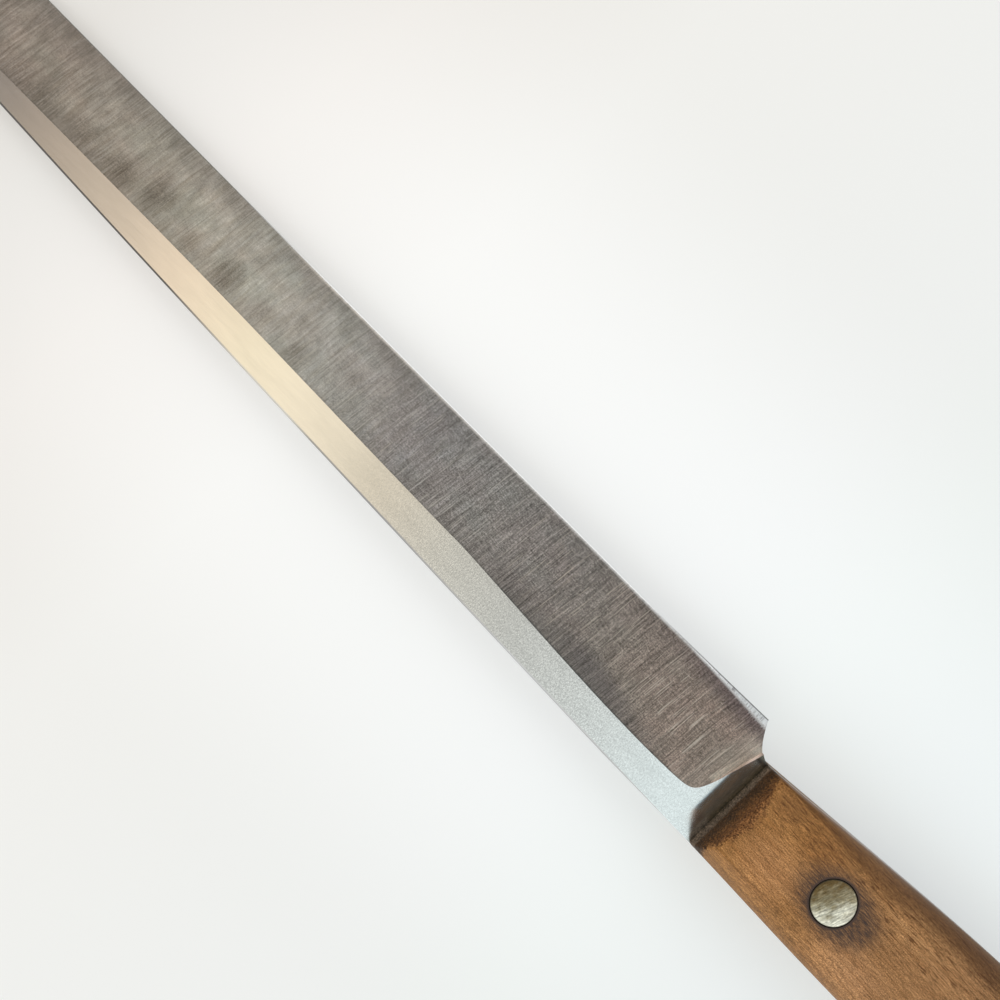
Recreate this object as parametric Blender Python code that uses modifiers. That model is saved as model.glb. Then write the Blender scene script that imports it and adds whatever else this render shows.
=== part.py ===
"""Slicing knife: a ground steel blade with a full tang, two walnut scales and three cutler's rivets.

Lengths are in metres. The knife lies on its side, as on a table: +X runs to the point, +Y to the
back of the blade and +Z up through its thickness. Sizes are set out from the back corner of the
handle's front face, halfway through the steel, and the whole knife is then moved so that the
origin is the middle of its underside.
"""

import math

import bmesh
import bpy
import numpy as np
from mathutils import Matrix, Vector
from mathutils.geometry import interpolate_bezier

# Blade, measured from the handle's front face
BLADE_LENGTH = 0.254
STEEL_THICKNESS = 0.0020       # of the tang
POINT_THICKNESS = 0.0008       # what the back is drawn down to at the point
TAPER_START = 0.004            # the blade thins from here to the point
HEEL_SETBACK = 0.0056          # front face to the heel's corner
HEEL_DEPTH = 0.0258            # back corner down to the heel's corner
WORN_LENGTH = 0.0325           # stretch in front of the heel that sharpening has dished
WORN_DEPTH = 0.0250
EDGE_DEPTH = 0.02385           # depth of the edge where the belly starts
BELLY_LENGTH = 0.062           # belly start to the point
POINT_DEPTH = 0.0078           # drop of the point below the back corner
POINT_ANGLE = math.radians(41)  # rise of the edge at the point
BACK_STRAIGHT = 0.022          # square stretch of the back in front of the handle

# Grinding of each side
FLAT_AT_HEEL = 0.00675         # unground flat beside the back
FLAT_AT_SWELL = 0.0081         # lowest reach of the grinding line, by the middle of the blade
SWELL_STATION = 0.066
FLAT_AT_BELLY = 0.0088
BELLY_STATION = 0.150
RUN_OFF_STATION = 0.226        # where the grinding line leaves by the back
GRIND_START = 0.0072           # heel end of the grinding line
CORNER_AHEAD = 0.0068          # the facet's rounded corner, in front of that end
CORNER_RISE = 0.00115
CORNER_BEHIND = 0.0030         # and behind and below it
CORNER_DROP = 0.0050
GRIND_SLANT = math.radians(15.5)   # lean of the facet's heel end
WHEEL_DRAFT = math.radians(40)     # slope that the wheel's edge leaves there
EDGE_THICKNESS = 0.00008
SHOULDER_THICKNESS = 0.00028   # behind the sharpened edge
EDGE_BEVEL = 0.00035
HEEL_BEVEL = 0.0012            # the sharpened edge widens to this at the heel
HEEL_BEVEL_LENGTH = 0.018
HEEL_BEVEL_FALL = 1.5          # power by which it narrows again

# Handle, measured back from its front face
HANDLE_LENGTH = 0.127
HANDLE_THICKNESS = 0.018
FRONT_WIDTH = 0.0200
PALM_STATION = 0.070
PALM_DEPTH = 0.0254
WAIST_TO_BUTT = 0.026
WAIST_DEPTH = 0.0240
BEAK_TO_BUTT = 0.0105
BEAK_DEPTH = 0.0268
BUTT_DEPTH = 0.0172            # height of the rearmost point
BACK_SWELL = 0.0006
BACK_SWELL_STATION = 0.058
BACK_ROUND = 0.0165            # length of the rounding from the back down to the butt
BACK_ROUND_DROP = 0.0004
SIDE_ROUND = 0.0058            # rounding of the scales along the sides and butt
FRONT_ROUND = 0.0015           # rounding of their front edge
BED_GAP = 0.0003               # between a scale and the tang

# Rivets
RIVET_FROM_FRONT = 0.0206
RIVET_TO_BUTT = 0.0205
FRONT_RIVET_DEPTH = 0.0114
MIDDLE_RIVET_DEPTH = 0.0123
REAR_RIVET_DEPTH = 0.0123
HEAD_RADIUS = 0.0040
HEAD_THICKNESS = 0.0015
SHANK_RADIUS = 0.0015
TUBE_RADIUS = 0.0024
TUBE_WALL = 0.0006
TUBE_MOUTH_SETBACK = 0.0010    # tube mouth below the other half's head
TUBE_FLOOR = 0.0012            # solid metal left at the foot of the tube's hole
SHANK_END_GAP = 0.0005
RIVET_CLEARANCE = 0.00025      # round a rivet in its holes
SEAT_CLEARANCE = 0.0003        # under a head in its recess

# Curves of the outlines. Each has how far its lead runs from its start and into its end, as shares
# of the curve's own reach and rise, and the number of steps.
CURVES = {
    "worn edge": ((0.33, 0.455), (0.25, 0.125), 6),
    "straight edge": ((0.24, 0.22), (0.47, 0.13), 10),
    "back": ((0.28, 0.57), (0.25, 0.15), 24),
    "heel hollow": ((0.34, 0.0), (0.30, 0.59), 12),
    "handle back": ((0.35, 0.6), (0.35, 0.0), 8),
    "handle rear": ((0.40, 0.0), (0.40, 0.4), 8),
    "back round": ((0.56, 0.024), (0.0, 0.56), 16),
    "butt": ((0.0, 0.56), (0.56, 0.0), 12),
    "beak": ((0.42, 0.0), (0.42, 0.0), 8),
    "grip": ((0.40, 0.0), (0.40, 0.0), 8),
    "palm": ((0.32, 0.0), (0.09, 0.0), 12),
    "grinding line by the heel": ((0.25, -0.78), (0.44, 0.89), 14),
    "grinding line": ((0.35, 0.071), (0.40, -0.143), 14),
    "grinding line run-off": ((0.33, 0.075), (0.28, 0.716), 14),
    "facet corner": ((0.673, 0.033), (0.102, 0.772), 14),
}
BELLY_LEADS = (0.48, 0.24)     # shares of the belly's length
BELLY_LIFT = 0.0003
BELLY_STEPS = 20

ROUND_STEPS = 7
FRONT_STEPS = 3
CIRCLE_STEPS = 40
SECTION_SPACING = 0.005        # of the grinding cutter's cross sections
BELLY_SECTIONS = 26
SLOPE_STEP = 0.0005            # reach of the slope measured on the edge
CUT_MARGIN = 0.002

WALNUT = (0.36, 0.19, 0.09)
STEEL = (0.60, 0.58, 0.55)
RIVET_METAL = (0.62, 0.57, 0.42)

half_steel = STEEL_THICKNESS / 2
taper = (STEEL_THICKNESS - POINT_THICKNESS) / 2 / (BLADE_LENGTH - TAPER_START)
half_handle = HANDLE_THICKNESS / 2
point = Vector((BLADE_LENGTH, -POINT_DEPTH))
heel = Vector((HEEL_SETBACK, -HEEL_DEPTH))
back_corner = Vector((0.0, 0.0))
neck = Vector((0.0, -FRONT_WIDTH))


# Outlines

def bezier(start, lead_out, lead_in, end, steps):
    """Points along one curve, without its last one, so that runs can be chained."""
    corners = [Vector((p[0], p[1], 0.0)) for p in (start, lead_out, lead_in, end)]
    return [p.to_2d() for p in interpolate_bezier(*corners, steps + 1)][:-1]


def curve(name, start, end):
    (out_reach, out_rise), (in_reach, in_rise), steps = CURVES[name]
    reach = end.x - start.x
    rise = end.y - start.y
    lead_out = start + Vector((reach * out_reach, rise * out_rise))
    lead_in = end - Vector((reach * in_reach, rise * in_rise))
    return bezier(start, lead_out, lead_in, end, steps)


def edge_run():
    """The cutting edge from the heel's corner to the point."""
    worn = Vector((HEEL_SETBACK + WORN_LENGTH, -WORN_DEPTH))
    belly = Vector((BLADE_LENGTH - BELLY_LENGTH, -EDGE_DEPTH))
    rise_to_point = Vector((math.cos(POINT_ANGLE), math.sin(POINT_ANGLE)))
    belly_lead, point_lead = BELLY_LEADS
    belly_part = bezier(belly, belly + Vector((BELLY_LENGTH * belly_lead, BELLY_LIFT)),
                        point - rise_to_point * BELLY_LENGTH * point_lead, point, BELLY_STEPS)
    return curve("worn edge", heel, worn) + curve("straight edge", worn, belly) + belly_part


def back_run():
    """The back from the point to the handle's front."""
    square_end = Vector((BACK_STRAIGHT, 0))
    return curve("back", point, square_end) + [square_end]


def heel_run():
    """The hollow behind the heel, from the handle's front down to the heel's corner."""
    return curve("heel hollow", neck, heel)


def handle_run():
    """The handle's outline from its front back corner, round the butt, to its front lower corner."""
    swell = Vector((-BACK_SWELL_STATION, BACK_SWELL))
    shoulder = Vector((-HANDLE_LENGTH + BACK_ROUND, -BACK_ROUND_DROP))
    butt = Vector((-HANDLE_LENGTH, -BUTT_DEPTH))
    beak = Vector((-HANDLE_LENGTH + BEAK_TO_BUTT, -BEAK_DEPTH))
    waist = Vector((-HANDLE_LENGTH + WAIST_TO_BUTT, -WAIST_DEPTH))
    palm = Vector((-PALM_STATION, -PALM_DEPTH))
    return (
        curve("handle back", back_corner, swell)
        + curve("handle rear", swell, shoulder)
        + curve("back round", shoulder, butt)
        + curve("butt", butt, beak)
        + curve("beak", beak, waist)
        + curve("grip", waist, palm)
        + curve("palm", palm, neck)
    )


def rivet_places():
    """Where the three rivets go through the handle."""
    front = -RIVET_FROM_FRONT
    rear = -HANDLE_LENGTH + RIVET_TO_BUTT
    return {
        "front": Vector((front, -FRONT_RIVET_DEPTH)),
        "middle": Vector(((front + rear) / 2, -MIDDLE_RIVET_DEPTH)),
        "rear": Vector((rear, -REAR_RIVET_DEPTH)),
    }


steel_outline = edge_run() + back_run() + handle_run() + heel_run()
handle_outline = handle_run() + [neck]
low_y = min(p.y for p in steel_outline)
high_y = max(p.y for p in steel_outline)
middle_x = (BLADE_LENGTH - HANDLE_LENGTH) / 2
to_origin = Vector((-middle_x, -(low_y + high_y) / 2, half_handle))


# Scene helpers

def clear_scene():
    for old in list(bpy.data.objects):
        bpy.data.objects.remove(old, do_unlink=True)


def new_collection(name):
    collection = bpy.data.collections.new(name)
    bpy.context.scene.collection.children.link(collection)
    return collection


def finish_material(name, colour, roughness, metallic):
    material = bpy.data.materials.new(name)
    material.use_nodes = True
    shader = material.node_tree.nodes["Principled BSDF"]
    shader.inputs["Base Color"].default_value = (*colour, 1)
    shader.inputs["Roughness"].default_value = roughness
    shader.inputs["Metallic"].default_value = metallic
    return material


def add_object(name, mesh, collection, material=None):
    mesh.name = name
    item = bpy.data.objects.new(name, mesh)
    item.location = to_origin
    collection.objects.link(item)
    if material:
        mesh.materials.append(material)
    return item


def mesh_of(bm):
    bmesh.ops.recalc_face_normals(bm, faces=bm.faces)
    mesh = bpy.data.meshes.new("mesh")
    bm.to_mesh(mesh)
    bm.free()
    return mesh


def plate(outline, thickness, middle_z=0.0):
    """A flat plate of the outline's shape, from a filled 2D curve made a mesh."""
    curve = bpy.data.curves.new("outline", "CURVE")
    curve.dimensions = "2D"
    curve.fill_mode = "BOTH"
    curve.extrude = thickness / 2
    spline = curve.splines.new("POLY")
    spline.points.add(len(outline) - 1)
    for spline_point, place in zip(spline.points, outline):
        spline_point.co = (place.x, place.y, 0, 1)
    spline.use_cyclic_u = True
    guide = bpy.data.objects.new("outline", curve)
    bpy.context.scene.collection.objects.link(guide)
    evaluated = guide.evaluated_get(bpy.context.evaluated_depsgraph_get())
    bm = bmesh.new()
    bm.from_mesh(bpy.data.meshes.new_from_object(evaluated))
    bpy.data.objects.remove(guide)
    bmesh.ops.remove_doubles(bm, verts=bm.verts, dist=1e-6)
    bmesh.ops.translate(bm, verts=bm.verts, vec=(0, 0, middle_z))
    return mesh_of(bm)


def turned(profile):
    """A solid of revolution about Z: the profile runs from the top of the axis down the outside."""
    bm = bmesh.new()
    row = [bm.verts.new((radius, 0, height)) for radius, height in profile]
    for upper, lower in zip(row, row[1:]):
        bm.edges.new((upper, lower))
    mesh = bpy.data.meshes.new("profile")
    bm.to_mesh(mesh)
    bm.free()
    return mesh


def add_screw(item):
    screw = item.modifiers.new("turn", "SCREW")
    screw.steps = CIRCLE_STEPS
    screw.render_steps = CIRCLE_STEPS
    screw.use_merge_vertices = True
    screw.merge_threshold = 0.00001
    screw.use_smooth_shade = False


def cut(item, cutter, operation="DIFFERENCE"):
    boolean = item.modifiers.new(cutter.name, "BOOLEAN")
    boolean.operation = operation
    boolean.solver = "EXACT"
    boolean.object = cutter


def as_cutter(item):
    item.display_type = "WIRE"
    item.hide_render = True
    return item


def shade_round(mesh):
    mesh.shade_smooth()
    mesh.set_sharp_from_angle(angle=math.radians(30))


# Grinding

def height_at(run, x):
    """Y of a run of points at station x, carried on straight past both ends."""
    points = sorted(run, key=lambda p: p.x)
    first, second = points[0], points[1]
    last, before_last = points[-1], points[-2]
    if x < first.x:
        return first.y + (x - first.x) * (second.y - first.y) / (second.x - first.x)
    if x > last.x:
        return last.y + (x - last.x) * (last.y - before_last.y) / (last.x - before_last.x)
    return float(np.interp(x, [p.x for p in points], [p.y for p in points]))


def grinding_line():
    """Where the wide ground facet starts, from the heel until it runs off the back."""
    start = Vector((GRIND_START, -FLAT_AT_HEEL))
    swell = Vector((SWELL_STATION, -FLAT_AT_SWELL))
    belly = Vector((BELLY_STATION, -FLAT_AT_BELLY))
    run_off = Vector((RUN_OFF_STATION, height_at(back_run(), RUN_OFF_STATION)))
    return (
        curve("grinding line by the heel", start, swell)
        + curve("grinding line", swell, belly)
        + curve("grinding line run-off", belly, run_off)
        + [run_off]
    )


def half_thickness(x):
    """Half of the steel's thickness beside the back, at station x."""
    return half_steel - max(x - TAPER_START, 0) * taper


def bevel_width(x):
    """The sharpened edge is widest at the heel."""
    share = min(max(1 - (x - HEEL_SETBACK) / HEEL_BEVEL_LENGTH, 0), 1)
    return EDGE_BEVEL + (HEEL_BEVEL - EDGE_BEVEL) * share ** HEEL_BEVEL_FALL


def wheel_stations():
    belly = BLADE_LENGTH - BELLY_LENGTH
    straight = np.arange(-CUT_MARGIN, belly, SECTION_SPACING)
    curved = np.linspace(belly, BLADE_LENGTH + CUT_MARGIN, BELLY_SECTIONS)
    return list(straight) + list(curved)


def wheel_sections():
    """Cross sections of the grinding cutter: above the grinding line, shoulder, past the edge."""
    edge = edge_run() + [point]
    line = grinding_line()
    sections = []
    for x in wheel_stations():
        edge_y = height_at(edge, x)
        slope = (height_at(edge, x + SLOPE_STEP) - height_at(edge, x - SLOPE_STEP)) / (2 * SLOPE_STEP)
        shoulder_y = edge_y + bevel_width(x) * math.hypot(1, slope)
        line_y = height_at(line, x)
        half = half_thickness(x)
        facet = (half - SHOULDER_THICKNESS / 2) / (line_y - shoulder_y)
        bevel = (SHOULDER_THICKNESS - EDGE_THICKNESS) / 2 / (shoulder_y - edge_y)
        sections.append([
            Vector((x, line_y + CUT_MARGIN, half + facet * CUT_MARGIN)),
            Vector((x, shoulder_y, SHOULDER_THICKNESS / 2)),
            Vector((x, edge_y - CUT_MARGIN, EDGE_THICKNESS / 2 - bevel * CUT_MARGIN)),
            Vector((x, edge_y - CUT_MARGIN, half_steel + CUT_MARGIN)),
            Vector((x, line_y + CUT_MARGIN, half_steel + CUT_MARGIN)),
        ])
    return sections


def wheel_cutter(cutters):
    """What the wheel removes from one side: a loft along the blade, ended by a slanted wall."""
    bm = bmesh.new()
    rings = [[bm.verts.new(corner) for corner in section] for section in wheel_sections()]
    for ring, following in zip(rings, rings[1:]):
        for corner in range(len(ring)):
            after = (corner + 1) % len(ring)
            bm.faces.new((ring[corner], ring[after], following[after], following[corner]))
    bm.faces.new(rings[0])
    bm.faces.new(list(reversed(rings[-1])))
    wheel = as_cutter(add_object("wheel_cutter", mesh_of(bm), cutters))
    cut(wheel, wheel_end(cutters), "INTERSECT")
    return wheel


def wheel_end(cutters):
    """The plan of the ground area with its rounded heel corner, leaning with the wheel's draft."""
    lean = math.tan(GRIND_SLANT)
    line_end = Vector((GRIND_START, -FLAT_AT_HEEL))
    entry = line_end + Vector((CORNER_AHEAD, CORNER_RISE))
    foot = line_end + Vector((-CORNER_BEHIND, -CORNER_DROP))
    clear = 5 * CUT_MARGIN
    far = BLADE_LENGTH + 2 * clear
    below = -HEEL_DEPTH - clear
    plan = (
        [Vector((far, clear)), Vector((entry.x + clear, clear))]
        + curve("facet corner", entry, foot)
        + [foot, Vector((foot.x + (below - foot.y) * lean, below)), Vector((far, below))]
    )
    mesh = plate(plan, 2 * (half_steel + CUT_MARGIN))
    for vertex in mesh.vertices:
        vertex.co.x += (half_steel - vertex.co.z) * math.tan(WHEEL_DRAFT)
    return as_cutter(add_object("wheel_end", mesh, cutters))


def taper_cutter(cutters):
    """A thin wedge off one side, so that the flat leans in from the taper's start to the point."""
    start = TAPER_START - CUT_MARGIN
    far = BLADE_LENGTH + CUT_MARGIN
    top = half_steel + CUT_MARGIN
    profile = [
        Vector((start, half_steel + CUT_MARGIN * taper)),
        Vector((far, half_thickness(far))),
        Vector((far, top)),
        Vector((start, top)),
    ]
    mesh = plate(profile, 2 * (HEEL_DEPTH + CUT_MARGIN))
    mesh.transform(Matrix.Rotation(math.radians(90), 4, "X"))
    return as_cutter(add_object("taper_cutter", mesh, cutters))


# Pieces

def rivet_hole_cutter(name, places, radius, cutters):
    bm = bmesh.new()
    for place in places:
        made = bmesh.ops.create_cone(bm, cap_ends=True, segments=CIRCLE_STEPS, radius1=radius,
                                     radius2=radius, depth=2 * HANDLE_THICKNESS)
        bmesh.ops.translate(bm, verts=made["verts"], vec=(place.x, place.y, 0))
    return as_cutter(add_object(name, mesh_of(bm), cutters))


def make_blade(parts, cutters):
    """Blade and full tang in one piece, cut from flat steel and ground on both sides."""
    material = finish_material("steel", STEEL, 0.35, 1.0)
    blade = add_object("blade", plate(steel_outline, STEEL_THICKNESS), parts, material)
    cut(blade, taper_cutter(cutters))
    cut(blade, wheel_cutter(cutters))
    mirror = blade.modifiers.new("other_side", "MIRROR")
    mirror.use_axis = (False, False, True)
    mirror.use_bisect_axis = (False, False, True)
    mirror.use_mirror_merge = True
    mirror.merge_threshold = 0.000001
    mirror.bisect_threshold = 0.000001
    hole_radius = TUBE_RADIUS + RIVET_CLEARANCE
    cut(blade, rivet_hole_cutter("tang_holes", rivet_places().values(), hole_radius, cutters))
    return blade


def scale_stations():
    """Points round a scale from the back to the edge side: place, way inwards, and front inset.

    The front edge is rounded by stations that draw in as they near the front face.
    """
    chain = handle_outline
    stations = []
    for index, place in enumerate(chain):
        before = chain[max(index - 1, 0)]
        after = chain[min(index + 1, len(chain) - 1)]
        along = (after - before).normalized()
        stations.append((place, Vector((-along.y, along.x)), 0.0))
    turns = [math.radians(90) * step / FRONT_STEPS for step in range(FRONT_STEPS + 1)]
    backs = []
    edges = []
    for turn in turns:
        x = -FRONT_ROUND * (1 - math.cos(turn))
        inset = FRONT_ROUND * (1 - math.sin(turn))
        backs.append((Vector((x, height_at(chain[:8], x))), Vector((0, -1)), inset))
        edges.append((Vector((x, height_at(chain[-8:], x))), Vector((0, 1)), inset))
    middle = [station for station in stations if station[0].x < -FRONT_ROUND * 1.5]
    return backs, middle, edges[::-1]


def scale_blank():
    """Half of the handle: flat inside, rounded along the sides and butt, square at the front."""
    inner = half_steel + BED_GAP
    centre_z = half_handle - SIDE_ROUND
    backs, middle, edges = scale_stations()
    bm = bmesh.new()
    rings = []
    for place, inwards, inset in backs + middle + edges:
        foot = place + inwards * inset
        column = [bm.verts.new((foot.x, foot.y, inner))]
        centre = place + inwards * SIDE_ROUND
        radius = SIDE_ROUND - inset
        for step in range(ROUND_STEPS + 1):
            turn = math.radians(90) * step / ROUND_STEPS
            rim = centre - inwards * radius * math.cos(turn)
            column.append(bm.verts.new((rim.x, rim.y, centre_z + radius * math.sin(turn))))
        rings.append(column)
    for column, following in zip(rings, rings[1:]):
        for low in range(len(column) - 1):
            bm.faces.new((column[low], column[low + 1], following[low + 1], following[low]))
    front_count = len(backs)
    for step in range(front_count - 1):
        bm.faces.new((rings[step][-1], rings[step + 1][-1], rings[-2 - step][-1], rings[-1 - step][-1]))
    bm.faces.new(rings[0] + rings[-1][::-1])
    bm.faces.new([column[0] for column in rings])
    bm.faces.new([column[-1] for column in rings[front_count - 1:len(rings) - front_count + 1]])
    return bm


def counterbore(name, place, side, cutters):
    """A turned cutter for one rivet's hole and head recess, open through both faces of a scale."""
    head_radius = HEAD_RADIUS + RIVET_CLEARANCE
    hole_radius = TUBE_RADIUS + RIVET_CLEARANCE
    seat = half_handle - HEAD_THICKNESS - SEAT_CLEARANCE
    above = half_handle + CUT_MARGIN
    profile = [(0, above), (head_radius, above), (head_radius, seat), (hole_radius, seat),
               (hole_radius, 0), (0, 0)]
    if side < 0:
        profile = [(radius, -height) for radius, height in reversed(profile)]
    cutter = as_cutter(add_object(name, turned(profile), cutters))
    cutter.location = to_origin + Vector((place.x, place.y, 0))
    add_screw(cutter)
    return cutter


def make_scale(name, side, parts, cutters):
    material = finish_material(name + "_walnut", WALNUT, 0.45, 0.0)
    bm = scale_blank()
    if side < 0:
        for vertex in bm.verts:
            vertex.co.z = -vertex.co.z
    scale = add_object(name, mesh_of(bm), parts, material)
    shade_round(scale.data)
    for place_name, place in rivet_places().items():
        cut(scale, counterbore(name + "_" + place_name + "_hole", place, side, cutters))
    return scale


def make_rivet(name, place, parts):
    """A cutler's rivet in two halves: a solid pin on the right, a tube on the left, pressed together."""
    head_inner = half_handle - HEAD_THICKNESS
    tube_mouth = head_inner - TUBE_MOUTH_SETBACK
    hole_floor = -head_inner + TUBE_FLOOR
    hole_radius = TUBE_RADIUS - TUBE_WALL
    pin_profile = [
        (0, half_handle), (HEAD_RADIUS, half_handle), (HEAD_RADIUS, head_inner),
        (SHANK_RADIUS, head_inner), (SHANK_RADIUS, hole_floor + SHANK_END_GAP),
        (0, hole_floor + SHANK_END_GAP),
    ]
    tube_profile = [
        (0, hole_floor), (hole_radius, hole_floor), (hole_radius, tube_mouth),
        (TUBE_RADIUS, tube_mouth), (TUBE_RADIUS, -head_inner), (HEAD_RADIUS, -head_inner),
        (HEAD_RADIUS, -half_handle), (0, -half_handle),
    ]
    for half, profile in (("pin", pin_profile), ("tube", tube_profile)):
        piece_name = name + "_rivet_" + half
        material = finish_material(piece_name, RIVET_METAL, 0.35, 1.0)
        rivet = add_object(piece_name, turned(profile), parts, material)
        rivet.location = to_origin + Vector((place.x, place.y, 0))
        add_screw(rivet)


def main():
    clear_scene()
    parts = new_collection("slicing_knife")
    cutters = new_collection("cutters")
    make_blade(parts, cutters)
    make_scale("right_scale", 1, parts, cutters)
    make_scale("left_scale", -1, parts, cutters)
    for place_name, place in rivet_places().items():
        make_rivet(place_name, place, parts)


main()
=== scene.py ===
"""Looks of a slicing knife: ground steel blade with a full tang, walnut scales, cutler's rivets.

Lengths are in metres. Outlines are set out from the back corner of the handle's front face, halfway
through the steel, and then moved by to_origin, so that every piece lies where its node lies.
"""

import math

import bmesh
import bpy
import numpy as np
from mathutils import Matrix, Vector
from mathutils.geometry import interpolate_bezier

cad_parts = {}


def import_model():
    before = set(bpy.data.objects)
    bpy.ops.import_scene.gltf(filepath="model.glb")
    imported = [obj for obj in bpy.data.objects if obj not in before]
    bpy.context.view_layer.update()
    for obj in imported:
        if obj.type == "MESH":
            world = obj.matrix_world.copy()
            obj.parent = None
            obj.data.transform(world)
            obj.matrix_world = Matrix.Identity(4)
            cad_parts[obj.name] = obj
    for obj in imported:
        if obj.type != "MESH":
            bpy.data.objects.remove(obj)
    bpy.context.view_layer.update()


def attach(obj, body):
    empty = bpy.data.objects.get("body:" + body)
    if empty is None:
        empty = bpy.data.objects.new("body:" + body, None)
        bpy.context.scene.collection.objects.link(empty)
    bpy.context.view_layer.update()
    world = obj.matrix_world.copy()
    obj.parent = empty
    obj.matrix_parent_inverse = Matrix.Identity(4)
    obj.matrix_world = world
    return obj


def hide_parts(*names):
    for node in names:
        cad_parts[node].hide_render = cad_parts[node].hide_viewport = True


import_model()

# Sizes of the knife
BLADE_LENGTH = 0.254
STEEL_THICKNESS = 0.002
POINT_THICKNESS = 0.0008
TAPER_START = 0.004
HEEL_SETBACK = 0.0052
HEEL_DEPTH = 0.0258
WORN_LENGTH = 0.0325
WORN_DEPTH = 0.025
EDGE_DEPTH = 0.02385
BELLY_LENGTH = 0.062
POINT_DEPTH = 0.0078
POINT_ANGLE = math.radians(41)
BACK_STRAIGHT = 0.022

FLAT_AT_HEEL = 0.00675
FLAT_AT_SWELL = 0.0081
SWELL_STATION = 0.066
FLAT_AT_BELLY = 0.0088
BELLY_STATION = 0.15
FLAT_AT_RUN_OFF = 0.00865
RUN_OFF_START = 0.188
RUN_OFF_STATION = 0.226
GRIND_START = 0.0072
CORNER_AHEAD = 0.003
CORNER_RISE = 0.00015
CORNER_BEHIND = 0.003
CORNER_DROP = 0.005
GRIND_SLANT = math.radians(15.5)
WHEEL_DRAFT = math.radians(16)
EDGE_THICKNESS = 0.00008
SHOULDER_THICKNESS = 0.00028
EDGE_BEVEL = 0.00016
HEEL_BEVEL = 0.0013
HEEL_BEVEL_LENGTH = 0.022
HEEL_BEVEL_FALL = 1.6

BACK_EDGE_ROUND = 0.0004
BACK_ROUND_START = 0.001
BACK_ROUND_BEFORE_RUN_OFF = 0.006
BACK_ROUND_DEPTH = 0.9 * FLAT_AT_HEEL

HANDLE_LENGTH = 0.127
HANDLE_THICKNESS = 0.018
FRONT_WIDTH = 0.02
PALM_STATION = 0.07
PALM_DEPTH = 0.0254
WAIST_TO_BUTT = 0.026
WAIST_DEPTH = 0.024
BEAK_TO_BUTT = 0.0105
BEAK_DEPTH = 0.0268
BUTT_DEPTH = 0.0172
BACK_SWELL = 0.0006
BACK_SWELL_STATION = 0.058
BACK_ROUND = 0.0165
BACK_ROUND_DROP = 0.0004
FRONT_ROUND = 0.0005
BED_GAP = 0.00001

# Rounding of a scale's sides, changing over the front section: width, height, squareness
SIDE_SECTION = (0.0058, 0.0058, 2.0)
EDGE_SIDE_AT_FRONT = (0.0004, 0.0006, 2.0)
BACK_SIDE_AT_FRONT = (0.0038, 0.0076, 1.2)
FRONT_SECTION_LENGTH = 0.03

RIVET_FROM_FRONT = 0.0206
RIVET_TO_BUTT = 0.0205
RIVET_DEPTHS = (0.0114, 0.0123, 0.0123)
HEAD_RADIUS = 0.0041
HEAD_THICKNESS = 0.0015
SHANK_RADIUS = 0.0015
TUBE_RADIUS = 0.0024
TUBE_WALL = 0.0006
TUBE_MOUTH_SETBACK = 0.001
TUBE_FLOOR = 0.0012
SHANK_END_GAP = 0.0005
HEAD_EDGE_ROUND = 0.00012
RIVET_CLEARANCE = 0.00015
SEAT_CLEARANCE = 0.00005

# Curves: how far each end leads, as shares of the curve's reach and rise, and the number of steps
CURVES = {
    "worn edge": ((0.33, 0.455), (0.25, 0.125), 24),
    "straight edge": ((0.24, 0.22), (0.47, 0.13), 60),
    "back": ((0.28, 0.57), (0.25, 0.15), 90),
    "heel hollow": ((0.34, 0.0), (0.3, 0.59), 30),
    "handle back": ((0.35, 0.6), (0.35, 0.0), 24),
    "handle rear": ((0.4, 0.0), (0.4, 0.4), 20),
    "back round": ((0.56, 0.024), (0.0, 0.56), 40),
    "butt": ((0.0, 0.56), (0.56, 0.0), 30),
    "beak": ((0.42, 0.0), (0.42, 0.0), 20),
    "grip": ((0.4, 0.0), (0.4, 0.0), 20),
    "palm": ((0.32, 0.0), (0.09, 0.0), 36),
    "grinding line by the heel": ((0.25, -0.78), (0.44, 0.89), 40),
    "grinding line": ((0.35, 0.071), (0.4, -0.143), 40),
    "grinding line run-off": ((0.45, -0.02), (0.28, 0.6), 40),
    "facet corner": ((0.66, 0.05), (0.26, 0.88), 30),
}
BELLY_LEADS = (0.48, 0.24)
BELLY_LIFT = 0.0003
BELLY_STEPS = 60
SECTION_SPACING = 0.002
SLOPE_STEP = 0.0005
ROUND_STEPS = 16
FRONT_STEPS = 8
HEAD_EDGE_STEPS = 4
BACK_EDGE_STEPS = 4
FRONT_NEIGHBOURS = 20
SIDE_POINTS_START = FRONT_ROUND * 1.2
RIVET_STEPS = 96
CUT_MARGIN = 0.002
MERGE_DISTANCE = 0.000001
TURNED_MERGE_DISTANCE = 0.00001
SMOOTH_ANGLE_STEEL = math.radians(35)
SMOOTH_ANGLE_WOOD = math.radians(34)
SMOOTH_ANGLE_RIVET = math.radians(30)
RIVET_TURN = math.radians(67)

# How far along the blade the steel's tones are set out, and how each set of marks leans
TONE_RUN = 0.2
SCRATCH_LEAN = math.radians(6)
STRAY_LEAN = math.radians(-3)
SCORE_LEAN = math.radians(1)
WOOD_LEAN = math.radians(1.5)
RIVET_LEAN = math.radians(20)

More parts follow.
